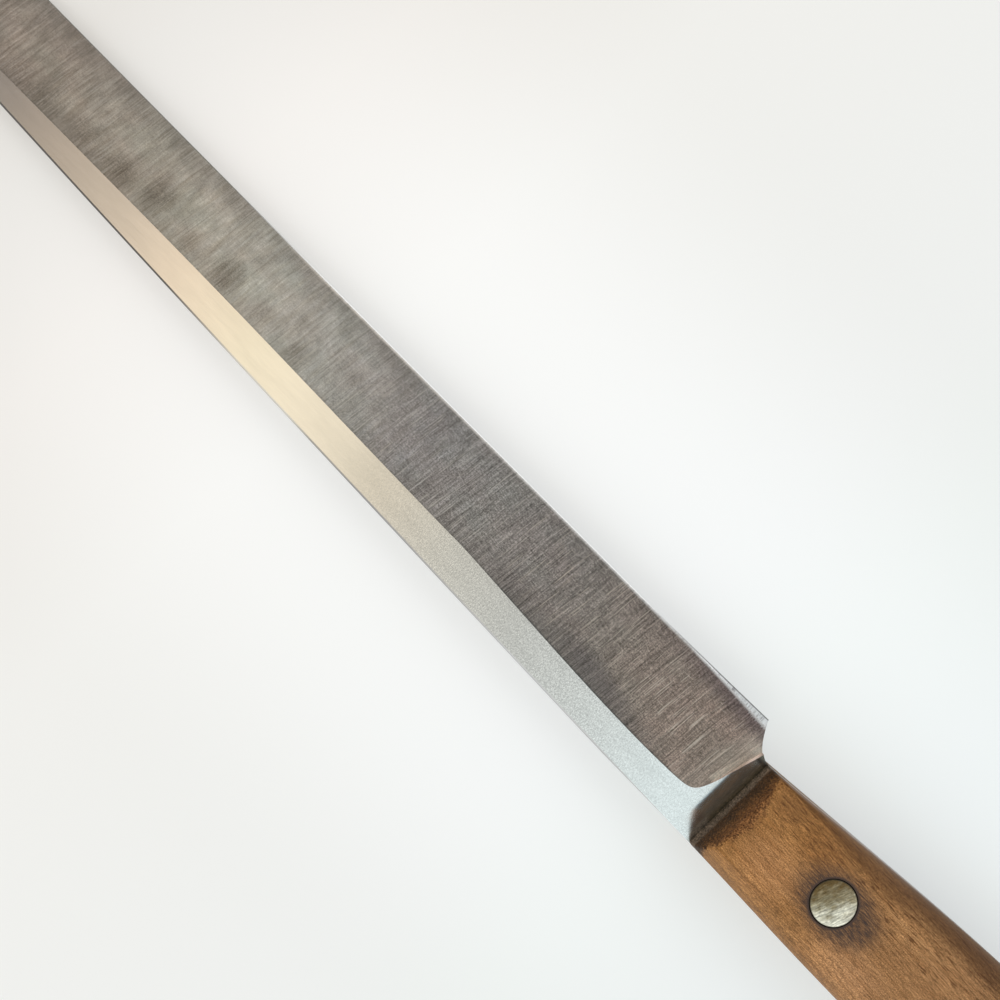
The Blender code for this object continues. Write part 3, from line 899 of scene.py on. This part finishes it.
def ground_steel():
    """The wide facet: scratched across by the wheel, browner by the heel, clouded towards the point."""
    f = Finish("ground_steel", 0.4, 1.0)
    station, depth = f.on_knife()[:2]
    above_shoulder, below_line = f.across()
    share = f.line(station, 0.0, TONE_RUN)
    tone = f.ramp(share, [
        (0.07, (0.276, 0.217, 0.185)), (0.16, (0.247, 0.211, 0.187)), (0.25, (0.258, 0.233, 0.224)),
        (0.34, (0.275, 0.267, 0.266)), (0.43, (0.292, 0.288, 0.305)), (0.475, (0.325, 0.323, 0.333)),
        (0.52, (0.388, 0.392, 0.402)), (0.61, (0.437, 0.447, 0.446)), (0.72, (0.432, 0.43, 0.412)),
        (0.8, (0.407, 0.395, 0.372)), (0.9, (0.385, 0.355, 0.328)),
    ])

    # The marks of the wheel, a little bent, and the clouds and tints under them
    wobble = f.pattern((12, 12, 12), 1, 0.5)
    sideways = f.node("CombineXYZ", {"X": f.times(wobble, 0.0007)}).outputs["Vector"]
    bent = f.node("VectorMath", {0: f.place, 1: sideways}, operation="ADD").outputs["Vector"]
    across = f.stretched((1, 1, 1), SCRATCH_LEAN, bent)
    threads = f.pattern((0.16, 5.5, 4), 1, 0.6, across)
    crossing = f.pattern((1, 0.21, 2), 1, 0.6, across)
    grain = f.pattern((0.24, 0.24, 0.24), 1, 0.5)
    smears = f.pattern((1.7, 6, 6), 2, 0.5, across)
    drawn = f.pattern((0.65, 4.2, 5), 3, 0.6, across)
    cloud = f.pattern((4.2, 3.2, 5), 3, 0.6, across)
    tint = f.pattern((10, 6, 8), 2, 0.5)
    scratches = f.pattern((0.22, 12.5, 12.5), 1, 0.4, across)
    ends = f.pattern((1.6, 5, 4), 2, 0.5, across)
    strokes = f.pattern((0.3, 4.2, 3), 2, 0.6, across)
    strays = f.pattern((4, 0.18, 2), 1, 0.4, bent, STRAY_LEAN)

    # Strong marks by the handle, soft ones and clouds towards the point
    handle_end = f.band(station, 0.118, 0.062)
    scratch_tone = f.mix(f.band(station, 0.048, 0.078), (0.66, 0.58, 0.5), (0.62, 0.61, 0.6))
    light = f.times(f.band(scratches, 0.58, 0.69), f.band(ends, 0.4, 0.58))
    stray = f.times(f.band(strays, 0.68, 0.76), f.band(ends, 0.45, 0.6, 0.0, 0.5))
    strong = f.multiplied(tone, (threads, 0.58, 1.5), (crossing, 0.7, 1.3), (grain, 0.5, 1.5),
                          (drawn, 0.94, 1.06))
    soft = f.multiplied(tone, (threads, 0.84, 1.16), (crossing, 0.92, 1.08), (grain, 0.84, 1.16),
                        (drawn, 0.84, 1.16), (smears, 0.86, 1.14))
    tone = f.mix(handle_end, soft, strong)
    clouds = f.ramp(cloud, [(0.3, (0.86, 0.86, 0.85)), (0.7, 1.13)])
    tone = f.mix(f.band(handle_end, 0.0, 1.0, 1.0, 0.5), tone, clouds, "MULTIPLY")
    tone = f.toned(tone, tint, [(0.38, (1.018, 0.995, 0.988)), (0.62, (0.984, 1.004, 0.995))])
    tone = f.mix(f.times(light, f.band(handle_end, 0.0, 1.0, 0.26, 0.58)), tone, scratch_tone)
    tone = f.mix(f.times(stray, handle_end), tone, scratch_tone)

    # Stains, and painted shade beside the grinding line, in the crease along the line, and beside the edge
    for along, down, reach, stretch, strength, stain in FACET_STAINS:
        spot = f.near(world(along, down, half_steel), reach, (stretch, 1.35, 1.0), 0.15, SCRATCH_LEAN)
        ragged = f.times(spot, f.band(drawn, 0.3, 0.7, strength, strength * 0.75))
        tone = f.mix(ragged, tone, f.multiplied(stain, (threads, 0.55, 1.5), (grain, 0.6, 1.4)))
    # Painted shade beside the grinding line: its strength along the blade, its mask and its dark tone
    worn = f.ramp(share, [(0.06, 0.1), (0.115, 0.54), (0.17, 0.65), (0.3, 0.38), (0.45, 0.1),
                          (0.7, 0.1), (0.9, 0.3)])
    painted_line_shade = f.times(f.band(below_line, 0.0048, 0.0002), worn)
    painted_shade_tone = f.multiplied((0.145, 0.135, 0.13), (threads, 0.45, 1.55), (grain, 0.6, 1.4))
    tone = f.mix(painted_line_shade, tone, painted_shade_tone)
    # Painted shade in the crease along the grinding line, stronger towards the point
    painted_crease_shade = f.times(f.band(below_line, 0.00042, 0.0001), f.band(station, 0.07, 0.052, 0.18, 0.55))
    tone = f.mix(painted_crease_shade, tone, (0.055, 0.062, 0.066))
    # Painted shade beside the edge, stronger towards the point
    painted_edge_shade = f.times(f.band(above_shoulder, 0.006, 0.0003), f.band(station, 0.08, 0.108, 0.16, 0.36))
    tone = f.mix(painted_edge_shade, tone, f.multiplied((0.14, 0.13, 0.125), (threads, 0.5, 1.5)))

    # Paler steel at the heel
    slant = f.times(f.plus(depth, FLAT_AT_HEEL + CORNER_DROP), math.tan(GRIND_SLANT))
    from_heel = f.minus(station, f.plus(slant, GRIND_START - CORNER_BEHIND))
    broad = f.times(f.line(from_heel, 0.0058, 0.0014, 0.0, 0.5),
                    f.band(depth, -0.0125, -0.016, 0.45, 1.0))
    narrow = f.times(f.band(from_heel, 0.0019, 0.0011, 0.0, 0.88), f.band(depth, -0.0098, -0.0115))
    paler = f.largest(broad, narrow)
    cream = f.multiplied((0.7, 0.61, 0.52), (threads, 0.72, 1.28), (grain, 0.76, 1.24))
    tone = f.mix(paler, tone, cream)

    # A purple cast and honing strokes along the edge, wider by the heel, and a painted highlight along the
    # rim above the edge
    ragged_rim = f.plus(above_shoulder, f.swing(strokes, 0.003))
    by_heel = f.band(station, 0.036, -0.004)
    purple = f.times(f.band(ragged_rim, 0.0042, 0.0008), f.band(station, 0.04, 0.01, 0.0, 0.85))
    purple_tone = f.multiplied((0.15, 0.115, 0.112), (threads, 0.6, 1.4), (grain, 0.6, 1.4))
    tone = f.mix(purple, tone, purple_tone)
    reach = f.line(by_heel, 0.0, 1.0, -0.00042, 0.0006)
    honed = f.band(f.minus(ragged_rim, reach), 0.0003, -0.00035)
    streaked = f.times(honed, f.band(strokes, 0.34, 0.62, 0.35, 0.95))
    # Painted highlight: a pale band just above the edge's bevel, over the blade's nearer half
    painted_edge_highlight = f.times(f.band(above_shoulder, 0.00056, 0.00005, 0.0, 0.8), f.band(station, 0.135, 0.115))
    painted_edge_highlight = f.times(painted_edge_highlight, f.band(strokes, 0.3, 0.58, 0.55, 1.0))
    tone = f.mix(f.largest(streaked, painted_edge_highlight), tone, (0.82, 0.81, 0.8))

    f.colour(tone)
    f.rough(f.band(threads, 0.2, 0.8, 0.34, 0.5))
    f.bump(threads, 0.000005, 0.5)
    f.bump(scratches, 0.000006, 0.5)
    return f.material


def satin_flat():
    """The flat beside the back: polished lengthwise, so it mirrors sharply along the blade only."""
    f = Finish("satin_flat_steel", 0.18, 0.98)
    f.shader.inputs["Anisotropic"].default_value = 0.93
    f.shader.inputs["Anisotropic Rotation"].default_value = 0.25
    tangent = f.node("Tangent", direction_type="UV_MAP", uv_map="along_blade")
    f.feed(f.shader.inputs["Tangent"], tangent.outputs["Tangent"])
    station, depth = f.on_knife()[:2]
    brushed = f.pattern((12, 0.3, 2), 3, 0.6)
    crosswise = f.pattern((0.2, 0.7, 1), 1, 0.6, turn=SCRATCH_LEAN)
    grain = f.pattern((0.21, 0.21, 0.21), 1, 0.6)
    cloud = f.pattern((9, 2.5, 3), 3, 0.6)
    scored = f.pattern((16, 0.13, 2), 1, 0.4, turn=SCORE_LEAN)
    tone = f.ramp(cloud, [(0.3, (0.74, 0.74, 0.735)), (0.7, (0.8, 0.8, 0.795))])
    mottled = f.multiplied(tone, (grain, 0.7, 1.3), (crosswise, 0.86, 1.14))
    worked = f.times(f.band(station, 0.1, 0.058), f.band(station, 0.006, 0.042, 0.45, 1.0))
    tone = f.mix(worked, tone, mottled)
    tone = f.multiplied(tone, (brushed, 0.98, 1.02))
    tone = f.mix(f.band(scored, 0.74, 0.8, 0.0, 0.35), tone, (0.3, 0.29, 0.28))
    # Painted shade: a soft dark line on the steel where it meets the wood
    tone = f.mix(f.band(station, 0.0012, 0.0001, 0.0, 0.5), tone, (0.3, 0.28, 0.25))
    # Painted reflection and shade on the steel in front of the wood: darker at the wood's foot, a cooler
    # changing tint over the mirrored wood front, and darker still by the neck
    painted_reflection_mask = f.times(f.band(station, 0.004, 0.0034), f.band(depth, -0.0045, -0.006))
    darker_point_and_painted_reflection = f.ramp(f.line(station, 0.0, 0.004), [
        (0.12, (0.4, 0.385, 0.31)), (0.25, (0.56, 0.55, 0.51)), (0.38, (0.86, 0.98, 1.0)),
        (0.52, (0.97, 1.0, 1.0)), (0.66, (0.76, 0.9, 1.0)), (0.8, (0.58, 0.74, 0.86))])
    darker_point_and_painted_reflection = f.mix(f.band(depth, -0.0187, -0.0194), darker_point_and_painted_reflection, (0.22, 0.2, 0.17))
    tone = f.mix(painted_reflection_mask, tone, darker_point_and_painted_reflection)
    f.colour(tone)
    f.bump(brushed, 0.000001, 0.4)
    return f.material


def sharpened_steel():
    """The honed edge, bright, with coarse strokes across it by the heel and a thin dark rim."""
    f = Finish("sharpened_steel", 0.3, 1.0)
    station = f.on_knife()[0]
    above_edge = f.across()[1]
    strokes = f.pattern((0.2, 2.2, 3), 3, 0.7, turn=SCRATCH_LEAN)
    plain = f.ramp(strokes, [(0.3, (0.68, 0.68, 0.67)), (0.7, (0.88, 0.88, 0.87))])
    coarse = f.ramp(strokes, [(0.36, (0.36, 0.34, 0.34)), (0.47, (0.78, 0.77, 0.77)), (0.65, 0.96)])
    darker_point_and_painted_reflection = f.ramp(strokes, [(0.3, (0.1, 0.095, 0.085)), (0.7, (0.2, 0.19, 0.17))])
    plain = f.mix(f.band(station, 0.112, 0.146), plain, darker_point_and_painted_reflection)
    tone = f.mix(f.band(station, 0.04, 0.018), plain, coarse)
    dark_rim = f.times(f.band(above_edge, 0.00022, 0.00014), f.band(station, 0.04, 0.02, 0.0, 0.85))
    tone = f.mix(dark_rim, tone, (0.1, 0.095, 0.09))
    f.colour(tone)
    f.bump(strokes, 0.000008, 0.6)
    return f.material


def run_out_steel():
    """The narrow slope where the wheel came out at the heel."""
    f = Finish("run_out_steel", 0.35, 1.0)
    streaks = f.pattern((0.6, 0.3, 0.8), 3, 0.6, turn=GRIND_SLANT)
    tone = f.ramp(streaks, [(0.3, (0.42, 0.34, 0.3)), (0.7, (0.76, 0.66, 0.6))])
    station, depth = f.on_knife()[:2]
    # By the neck the slope's tone goes paler and pinker: a painted tint on the highlight the slope catches
    # there
    tone = f.mix(f.band(depth, -0.0165, -0.019), tone, (1.0, 0.88, 0.84))
    # Painted shade: darker right next to the wood
    tone = f.mix(f.band(station, 0.0023, 0.0014), tone, (0.16, 0.14, 0.11))
    f.colour(tone)
    f.bump(streaks, 0.000006, 0.6)
    return f.material


def side_steel():
    """The back, the hollow behind the heel and the tang's edges: drawn along, a little dull."""
    f = Finish("side_steel", 0.34, 1.0)
    drawn = f.pattern((9, 0.4, 0.15), 3, 0.6)
    tone = f.ramp(drawn, [(0.3, (0.4, 0.385, 0.36)), (0.7, (0.56, 0.545, 0.52))])
    share = f.line(f.on_knife()[0], 0.0, TONE_RUN)
    # Painted reflection on the back's rounded edges: a tone along the blade, dark where they mirror darker
    # surroundings
    rounded = f.ramp(share, [
        (0.235, (0.5, 0.5, 0.49)), (0.29, (0.44, 0.43, 0.41)), (0.43, (0.3, 0.29, 0.28)),
        (0.5, (0.36, 0.34, 0.3)), (0.53, (0.62, 0.59, 0.52)), (0.6, (0.6, 0.56, 0.48)),
        (0.65, (0.32, 0.29, 0.25)), (0.69, (0.12, 0.11, 0.1))])
    upwards = f.math("ABSOLUTE", f.parts(f.node("NewGeometry").outputs["Normal"])[2])
    tone = f.mix(f.band(upwards, 0.1, 0.4), tone, f.multiplied(rounded, (drawn, 0.88, 1.12)))
    f.colour(tone)
    f.rough(f.band(drawn, 0.3, 0.7, 0.28, 0.42))
    f.bump(drawn, 0.000005, 0.6)
    return f.material


# Finishes of the handle

def walnut():
    """Oiled walnut: fine dark grain, open pores, a dark porous front and dark stains round the rivets."""
    f = Finish("oiled_walnut", 0.5)
    f.shader.inputs["Specular IOR Level"].default_value = 0.08
    station, depth, z = f.on_knife()

    # Grain and pores
    grain_way = f.stretched((1, 1, 1), WOOD_LEAN)
    broad = f.pattern((35, 6, 6), 3, 0.5, grain_way, distortion=0.4)
    figure = f.pattern((14, 0.8, 1), 4, 0.6, grain_way, distortion=0.3)
    fibres = f.pattern((1.9, 0.23, 0.3), 2, 0.6, grain_way)
    pores = f.pattern((2.6, 0.26, 0.3), 2, 0.5, grain_way)
    speckle = f.pattern((0.24, 0.22, 0.24), 1, 0.5)
    tone = f.ramp(figure, [(0.3, (0.245, 0.112, 0.036)), (0.5, (0.3, 0.145, 0.05)),
                           (0.7, (0.345, 0.172, 0.062))])
    tone = f.toned(tone, broad, [(0.32, (0.86, 0.85, 0.85)), (0.68, 1.12)])
    tone = f.toned(tone, f.line(station, -0.01, -0.05), [
        (0.0, (1.02, 1.02, 0.98)), (0.5, (1.04, 1.1, 1.28)), (1.0, (1.05, 1.13, 1.38))])
    for along, down, reach, stretch, patch in WOOD_PATCHES:
        spot = f.near(world(along, down), reach, (stretch, 1.0, ANY_HEIGHT), 0.1, -WOOD_LEAN)
        tone = f.mix(spot, tone, patch, "MULTIPLY")
    tone = f.multiplied(tone, (fibres, 0.54, 1.44), (speckle, 0.52, 1.48))
    open_pores = f.band(pores, 0.55, 0.66)
    waved_depth = f.plus(depth, f.times(broad, 0.006))
    edge_side = f.band(waved_depth, -0.008, -0.012, 0.25, 0.8)
    tone = f.mix(f.times(open_pores, edge_side), tone, (0.095, 0.038, 0.012))

    # Painted shade on faces turned to the edge's side, and dark stains round the rivets
    # Painted shade: darker where the wood's faces turn towards the edge's side
    facing = f.parts(f.node("NewGeometry").outputs["Normal"])[1]
    painted_side_shade = f.band(f.plus(facing, f.swing(broad, 0.5)), -0.05, -0.75)
    painted_side_shade = f.times(painted_side_shade, f.band(station, -0.022, -0.038, 0.58, 0.74))
    tone = f.mix(painted_side_shade, tone, (0.05, 0.017, 0.002))
    halo = 0.0
    for place in rivet_places():
        centre = world(place.x, place.y).xy.to_3d()
        spread = f.near(centre - Vector((0.001, 0.0, 0.0)), 0.0112, (1.0, 0.66, ANY_HEIGHT), 0.48)
        ring = f.near(centre, 0.0052, (1.0, 1.0, ANY_HEIGHT), 0.84)
        spot = f.times(spread, f.band(fibres, 0.36, 0.62, 1.0, 0.58))
        halo = f.largest(halo, f.largest(spot, ring))
    tone = f.mix(f.times(halo, 0.9), tone, (0.042, 0.034, 0.034))

    # The dark porous front, with an uneven border
    height = f.math("ABSOLUTE", f.minus(z, half_handle))
    past_top = f.minus(f.minus(height, half_handle), station)
    blotches = f.pattern((1.1, 1.8, 1.4), 2, 0.6)
    flecks = f.pattern((0.5, 0.4, 0.6), 2, 0.6)
    uneven = f.plus(f.swing(blotches, 0.003), f.swing(flecks, 0.0022))
    off_middle = f.plus(depth, FRONT_WIDTH * END_BORDER_MIDDLE)
    bend = f.times(f.math("POWER", f.math("ABSOLUTE", off_middle), 2.0), END_BORDER_BEND)
    porous_end = f.plus(f.plus(past_top, uneven), bend)
    # The darkest stop, at the foot of the front against the steel, is painted shade at the joint
    front = f.ramp(f.line(f.plus(past_top, f.times(uneven, 0.4)), -0.008, 0.002), [
        (0.015, (0.058, 0.042, 0.026)), (0.05, (0.104, 0.076, 0.052)), (0.19, (0.108, 0.078, 0.054)),
        (0.25, (0.046, 0.022, 0.008)), (0.43, (0.051, 0.024, 0.009)), (0.5, (0.08, 0.036, 0.011)),
        (0.62, (0.105, 0.045, 0.014)), (0.8, (0.149, 0.066, 0.024)), (0.95, (0.19, 0.085, 0.03))])
    front = f.multiplied(front, (speckle, 0.22, 1.85), (blotches, 0.72, 1.28), (flecks, 0.3, 1.75))
    tone = f.mix(f.band(porous_end, 0.0024, 0.001), tone, front)

    f.colour(tone)
    f.rough(f.band(figure, 0.3, 0.7, 0.46, 0.56))
    f.bump(fibres, 0.00002, 0.5)
    f.bump(f.minus(1.0, open_pores), 0.00003, 0.6)
    f.bump(f.times(speckle, f.band(porous_end, 0.002, 0.0008)), 0.0001, 0.8)
    return f.material


def rivet_metal():
    """Yellowed nickel silver, ground flush with the handle, tarnished towards one side."""
    f = Finish("rivet_metal", 0.36, 1.0)
    own = f.node("Attribute", attribute_name="own_place").outputs["Vector"]
    scratch = f.stretched((1, 1, 1), RIVET_LEAN, own)
    lines = f.pattern((0.3, 2.2, 2.2), 3, 0.6, scratch)
    patches = f.pattern((1.2, 2.2, 2.2), 3, 0.65, scratch)
    grain = f.pattern((0.25, 0.4, 0.4), 2, 0.6, scratch)
    x, y = f.parts(own)[:2]
    side = f.times(f.minus(f.times(y, 0.6), x), 115.0)
    bright = f.plus(f.plus(side, f.swing(patches, 1.3)), 0.5)
    tone = f.ramp(bright, [(0.05, (0.15, 0.098, 0.042)), (0.45, (0.29, 0.245, 0.155)),
                           (0.95, (0.72, 0.69, 0.57))])
    tone = f.multiplied(tone, (lines, 0.45, 1.55), (grain, 0.75, 1.25))
    flat_place = f.node("VectorMath", {0: own, 1: (1, 1, 0)}, operation="MULTIPLY").outputs["Vector"]
    by_rim = f.band(f.length(flat_place), HEAD_RADIUS * 0.94, HEAD_RADIUS * 0.985)
    tone = f.mix(by_rim, tone, (0.05, 0.042, 0.03))
    f.colour(tone)
    f.rough(f.band(patches, 0.3, 0.7, 0.3, 0.44))
    f.bump(lines, 0.000012, 0.8)
    return f.material


# Setting

def pale_floor():
    """A pale table top that leans, so that the level knife lies on its handle's front and its point."""
    rise = (half_handle - EDGE_THICKNESS / 2) / (BLADE_LENGTH + FRONT_ROUND)
    foot = world(-FRONT_ROUND, -FRONT_WIDTH / 2, -half_handle)
    bm = bmesh.new()
    low = foot.z - FLOOR_GAP
    corners = [(-1, -1), (1, -1), (1, 1), (-1, 1)]
    bm.faces.new([bm.verts.new((foot.x + x * FLOOR_REACH, foot.y + y * FLOOR_REACH,
                                low + x * FLOOR_REACH * rise)) for x, y in corners])
    floor = new_object("table_top", mesh_of(bm, outwards=False))
    f = Finish("table_top_and_painted_light", 0.75)
    f.shader.inputs["Specular IOR Level"].default_value = 0.2
    x, y = f.parts(f.place)[:2]
    # Painted light on the table: warmer and dimmer towards the point's end, palest around the middle,
    # cooler towards the handle's end
    tone = f.ramp(f.line(x, 0.12, -0.1), [
        (0.0, (0.835, 0.81, 0.775)), (0.05, (0.865, 0.845, 0.815)), (0.17, (0.94, 0.915, 0.888)),
        (0.35, (0.98, 0.978, 0.965)), (0.7, (0.965, 0.985, 0.99)), (0.83, (0.95, 0.99, 0.99)),
        (1.0, (0.93, 0.975, 0.985))])
    # Painted light: brightest along a line under the knife, dimmer away from it
    away = f.band(f.math("ABSOLUTE", f.minus(y, FLOOR_BRIGHT_LINE)), 0.0195, 0.088)
    tone = f.toned(tone, away, [(0.0, 1.0), (1.0, (0.91, 0.905, 0.89))])
    f.colour(tone)
    seen = f.node("Emission", {"Color": tone, "Strength": 1.0})
    rays = f.node("LightPath")
    mirrored = f.largest(rays.outputs["Is Glossy Ray"], rays.outputs["Is Transmission Ray"])
    direct = f.largest(rays.outputs["Is Camera Ray"], mirrored)
    blend = f.node("MixShader", {"Fac": f.times(direct, FLOOR_GLOW), 1: f.shader.outputs["BSDF"],
                                 2: seen.outputs["Emission"]})
    f.feed(f.tree.nodes["Material Output"].inputs["Surface"], blend.outputs["Shader"])
    floor.data.materials.append(f.material)


def window_lamp():
    """A large soft lamp beyond the back of the blade, which widens the shadow on the edge's side."""
    light = bpy.data.lights.new("window", "AREA")
    light.shape = "RECTANGLE"
    light.size, light.size_y = LAMP_SIZE
    light.color = (1.0, 0.98, 0.95)
    light.energy = LAMP_POWER
    item = new_object("window", light)
    item.location = LAMP_PLACE
    item.rotation_euler = (LAMP_TURN, 0, 0)


def room_light():
    """A soft room overhead, with tones that follow a direction's slope along the knife."""
    sky = bpy.data.worlds.new("room")
    bpy.context.scene.world = sky
    sky.use_nodes = True
    f = Nodes(sky.node_tree)
    x, y, z = f.parts(f.node("TexCoord").outputs["Generated"])
    upwards = f.largest(z, LOWEST_RISE)
    along = f.math("DIVIDE", x, upwards)
    sideways = f.math("DIVIDE", y, upwards)
    ceiling = f.ramp(f.line(along, -1.0, 1.0), [
        (0.0, (1.0, 1.04, 1.06)), (0.27, (0.93, 1.06, 1.06)), (0.365, (0.765, 0.81, 0.775)),
        (0.43, (0.68, 0.69, 0.635)), (0.5, (0.745, 0.715, 0.61)), (0.565, (0.865, 0.76, 0.575)),
        (0.635, (1.255, 1.085, 0.795)), (0.7, (1.21, 1.035, 0.72)), (0.77, (1.07, 0.85, 0.6)),
        (0.835, (0.7, 0.56, 0.41)), (0.89, (0.52, 0.405, 0.29)), (0.95, (0.275, 0.216, 0.164)),
        (1.0, (0.18, 0.15, 0.12))])
    overhead = f.band(f.math("ABSOLUTE", f.minus(sideways, 0.11)), 0.55, 0.22)
    walls = f.mix(f.band(y, -0.8, 0.8), ROOM_NEAR_EDGE, ROOM_NEAR_BACK)
    room = f.mix(overhead, walls, ceiling)
    dim_part = f.node("CombineXYZ", {"X": f.times(f.plus(along, 0.05), 0.5),
                                     "Y": f.plus(sideways, 0.34)}).outputs["Vector"]
    room = f.mix(f.band(f.length(dim_part), 0.44, 0.16, 0.0, 0.78), room, (0.2, 0.2, 0.21))
    f.feed(f.tree.nodes["Background"].inputs["Color"], room)


def set_camera():
    view = bpy.data.cameras.new("camera")
    view.lens = CAMERA_LENS
    view.clip_start = 0.005
    item = new_object("camera", view)
    item.location = CAMERA_PLACE
    item.rotation_euler = (0, 0, CAMERA_TURN)
    bpy.context.scene.camera = item


def dress(piece, slot, *nodes):
    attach(piece, "root")
    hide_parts(*nodes)


set_camera()
window_lamp()
room_light()
pale_floor()

blade = make_blade([satin_flat(), ground_steel(), sharpened_steel(), run_out_steel(), side_steel()])
dress(blade, "steel", "blade")

wood = walnut()
dress(make_scale("right_scale_wood", 1, wood), "walnut", "right_scale")
dress(make_scale("left_scale_wood", -1, wood), "walnut", "left_scale")

tree = rivet_tree()
metal = rivet_metal()
for name, profile in rivet_profiles().items():
    half = "_rivet_pin" if name == "rivet_pins" else "_rivet_tube"
    rivets = make_rivets(name, profile, tree, metal)
    dress(rivets, "rivet_metal", "front" + half, "middle" + half, "rear" + half)

bpy.context.scene.view_settings.view_transform = "Standard"
